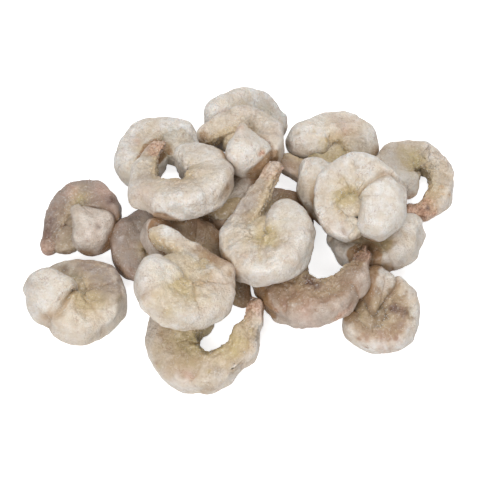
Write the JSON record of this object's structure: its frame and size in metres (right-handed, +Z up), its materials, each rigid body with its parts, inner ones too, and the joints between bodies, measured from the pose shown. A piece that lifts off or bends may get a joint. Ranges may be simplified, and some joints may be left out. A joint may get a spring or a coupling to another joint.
{
  "type": "heap of raw shrimps",
  "caption": "Loose heap of raw, peeled, frozen shrimps: stout curled bodies that taper from a blunt head cut to a narrow tail, lying on and against each other under a thin frost.",
  "frame": {"origin": "under the middle of the heap, on the surface that it lies on", "axes": "+X to the right along the heap's longest side, +Y away from its front, +Z up"},
  "size_m": [0.2162, 0.175, 0.0504],
  "materials": {
    "frosted_flesh": "matte frost over pale translucent flesh",
    "bare_flesh": "thin satin ice over brownish grey flesh"
  },
  "bodies": {
    "root": {"shrimp_01": "bare_flesh", "shrimp_02": "frosted_flesh", "shrimp_03": "bare_flesh", "shrimp_04": "bare_flesh", "shrimp_05": "frosted_flesh", "shrimp_06": "frosted_flesh", "shrimp_07": "frosted_flesh", "shrimp_08": "frosted_flesh", "shrimp_09": "frosted_flesh", "shrimp_10": "frosted_flesh", "shrimp_11": "frosted_flesh", "shrimp_12": "bare_flesh", "shrimp_13": "bare_flesh", "shrimp_14": "frosted_flesh", "shrimp_15": "frosted_flesh", "shrimp_16": "frosted_flesh", "shrimp_17": "frosted_flesh", "shrimp_18": "frosted_flesh", "shrimp_19": "frosted_flesh", "shrimp_20": "bare_flesh"}
  },
  "joints": []
}
